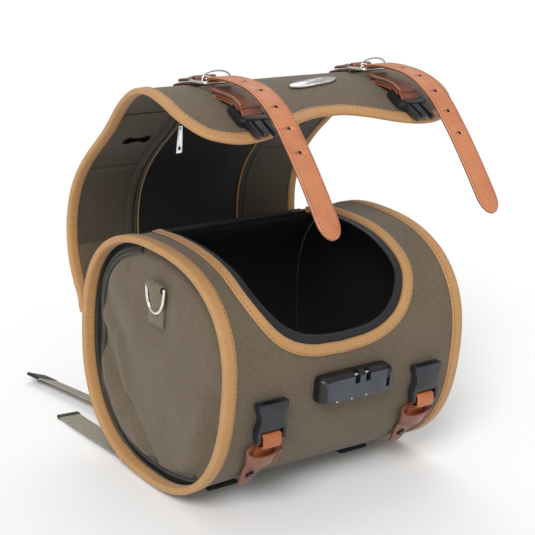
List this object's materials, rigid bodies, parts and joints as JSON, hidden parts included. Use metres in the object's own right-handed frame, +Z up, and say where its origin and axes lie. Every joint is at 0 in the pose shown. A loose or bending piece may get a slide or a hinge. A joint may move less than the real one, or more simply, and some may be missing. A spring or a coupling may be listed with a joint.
{
  "type": "roll top carrier bag",
  "caption": "Roll-shaped canvas carrier bag with a hinged leather-strapped lid, zip, side-release buckles, a combination lock and rack straps.",
  "frame": {"origin": "middle of the underside mat's lower face, where the bag rests on a rack or table", "axes": "+Z up, +X along the roll to the right as seen from the lock side, -Y towards the lock, +Y towards the lid hinge"},
  "size_m": [0.3358, 0.4725, 0.4157],
  "materials": {
    "canvas": "taupe padded canvas with a fine plain weave",
    "lining": "near-black smooth woven lining",
    "tan_binding": "tan folded binding tape, stitched along its inner edge",
    "zip_tape": "dark olive zip tape with a black coil",
    "webbing": "grey-olive flat webbing",
    "black_webbing": "black flat webbing",
    "tan_leather": "light tan leather, smooth, stitched on both edges",
    "brown_leather": "reddish brown leather with darker cut edges",
    "chrome_wire": "polished nickel-chrome",
    "dark_steel": "dark bronzed steel",
    "lock_plastic": "charcoal moulded plastic, fine satin",
    "black_plastic": "black moulded acetal, satin gloss",
    "board": "dark stiff base board",
    "rubber_mat": "black ribbed anti-slip rubber"
  },
  "bodies": {
    "root": {"body_shell": "canvas", "body_lining": "lining", "opening_binding": "tan_binding", "opening_zip": "zip_tape", "base_stiffener": "board", "base_mat": "rubber_mat", "lock_housing": "lock_plastic", "lock_base_plate": "dark_steel", "hinge_strip": "canvas", "end_binding_left": "tan_binding", "end_binding_right": "tan_binding", "end_panel_left": "canvas", "end_panel_right": "canvas", "end_pocket_left": "canvas", "end_pocket_right": "canvas", "end_zip_left": "zip_tape", "end_zip_right": "zip_tape", "d_ring_tab_left": "webbing", "d_ring_tab_right": "webbing", "rack_strap_left": "black_webbing", "rack_strap_right": "black_webbing", "rack_tail_long_left": "webbing", "rack_tail_long_right": "webbing", "rack_tail_short_left": "webbing", "rack_tail_short_right": "webbing", "front_loop_left": "brown_leather", "front_loop_right": "brown_leather", "front_rivet_left": "dark_steel", "front_rivet_right": "dark_steel"},
    "lid_back": {"lid_back_panel": "canvas", "lid_back_edge_left": "tan_binding", "lid_back_edge_right": "tan_binding", "lid_back_lining": "lining"},
    "lid_front": {"lid_front_panel": "canvas", "lid_front_edge": "tan_binding", "lid_front_lining": "lining", "badge": "chrome_wire", "strap_tab_left": "tan_leather", "strap_tab_right": "tan_leather", "buckle_frame_left": "chrome_wire", "buckle_frame_right": "chrome_wire", "strap_lower_left": "brown_leather", "strap_lower_right": "brown_leather"},
    "d_ring_left": {"d_ring_left": "chrome_wire"},
    "d_ring_right": {"d_ring_right": "chrome_wire"},
    "dial_1": {"lock_dial_1": "black_plastic"},
    "dial_2": {"lock_dial_2": "black_plastic"},
    "dial_3": {"lock_dial_3": "black_plastic"},
    "release_slider": {"lock_slider": "black_plastic"},
    "female_left": {"female_buckle_left": "black_plastic"},
    "female_right": {"female_buckle_right": "black_plastic"},
    "prong_left": {"buckle_prong_left": "chrome_wire"},
    "prong_right": {"buckle_prong_right": "chrome_wire"},
    "plug_left": {"male_plug_left": "black_plastic"},
    "plug_right": {"male_plug_right": "black_plastic"},
    "strap_left": {"strap_free_left": "tan_leather"},
    "strap_right": {"strap_free_right": "tan_leather"},
    "pull_left": {"zip_pull_left": "chrome_wire"},
    "pull_right": {"zip_pull_right": "chrome_wire"}
  },
  "joints": [
    {"name": "lid_hinge", "type": "hinge", "parent": "root", "child": "lid_back", "pos_m": [0, 0.13154, 0.15092], "axis": [1, 0, 0], "range_deg": [-50, 45]},
    {"name": "lid_fold", "type": "hinge", "parent": "lid_back", "child": "lid_front", "pos_m": [0, 0.09644, 0.3314], "axis": [1, 0, 0], "range_deg": [-15.6, 14.05]},
    {"name": "strap_swing_left", "type": "hinge", "parent": "lid_front", "child": "strap_left", "pos_m": [-0.097, -0.01749, 0.40683], "axis": [-1, 0, 0], "range_deg": [-8, 25]},
    {"name": "strap_swing_right", "type": "hinge", "parent": "lid_front", "child": "strap_right", "pos_m": [0.097, -0.01749, 0.40683], "axis": [-1, 0, 0], "range_deg": [-8, 25]},
    {"name": "plug_swing_left", "type": "hinge", "parent": "lid_front", "child": "plug_left", "pos_m": [-0.097, -0.06512, 0.38748], "axis": [-1, 0, 0], "range_deg": [-6, 10]},
    {"name": "plug_swing_right", "type": "hinge", "parent": "lid_front", "child": "plug_right", "pos_m": [0.097, -0.06512, 0.38748], "axis": [-1, 0, 0], "range_deg": [-6, 10]},
    {"name": "prong_swing_left", "type": "hinge", "parent": "lid_front", "child": "prong_left", "pos_m": [-0.097, 0.0069, 0.40425], "axis": [-1, 0, 0], "range_deg": [0, 20]},
    {"name": "prong_swing_right", "type": "hinge", "parent": "lid_front", "child": "prong_right", "pos_m": [0.097, 0.0069, 0.40425], "axis": [-1, 0, 0], "range_deg": [0, 20]},
    {"name": "female_tilt_left", "type": "hinge", "parent": "root", "child": "female_left", "pos_m": [-0.098, -0.132, 0.093], "axis": [-1, 0, 0], "range_deg": [-35, 0]},
    {"name": "female_tilt_right", "type": "hinge", "parent": "root", "child": "female_right", "pos_m": [0.098, -0.132, 0.093], "axis": [-1, 0, 0], "range_deg": [-35, 0]},
    {"name": "d_ring_swing_left", "type": "hinge", "parent": "root", "child": "d_ring_left", "pos_m": [-0.1461, -0.001, 0.208], "axis": [0, 1, 0], "range_deg": [0, 150]},
    {"name": "d_ring_swing_right", "type": "hinge", "parent": "root", "child": "d_ring_right", "pos_m": [0.1461, -0.001, 0.208], "axis": [0, -1, 0], "range_deg": [0, 150]},
    {"name": "dial_spin_1", "type": "hinge", "parent": "root", "child": "dial_1", "pos_m": [-0.026, -0.1336, 0.117], "axis": [1, 0, 0], "continuous": true},
    {"name": "dial_spin_2", "type": "hinge", "parent": "root", "child": "dial_2", "pos_m": [-0.0075, -0.1336, 0.117], "axis": [1, 0, 0], "continuous": true},
    {"name": "dial_spin_3", "type": "hinge", "parent": "root", "child": "dial_3", "pos_m": [0.011, -0.1336, 0.117], "axis": [1, 0, 0], "continuous": true},
    {"name": "lock_release", "type": "slide", "parent": "root", "child": "release_slider", "axis": [0, 0, -1], "range_m": [0, 0.008], "stiffness_N_per_m": 40},
    {"name": "pull_swing_left", "type": "hinge", "parent": "lid_front", "child": "pull_left", "pos_m": [-0.073, 0.0769, 0.3392], "axis": [-1, 0, 0], "range_deg": [-30, 58]},
    {"name": "pull_swing_right", "type": "hinge", "parent": "lid_front", "child": "pull_right", "pos_m": [0.073, 0.0769, 0.3392], "axis": [-1, 0, 0], "range_deg": [-30, 58]}
  ],
  "couplings": [
    {"joint": "lid_fold", "follows": "lid_hinge", "ratio": 0.31111}
  ]
}
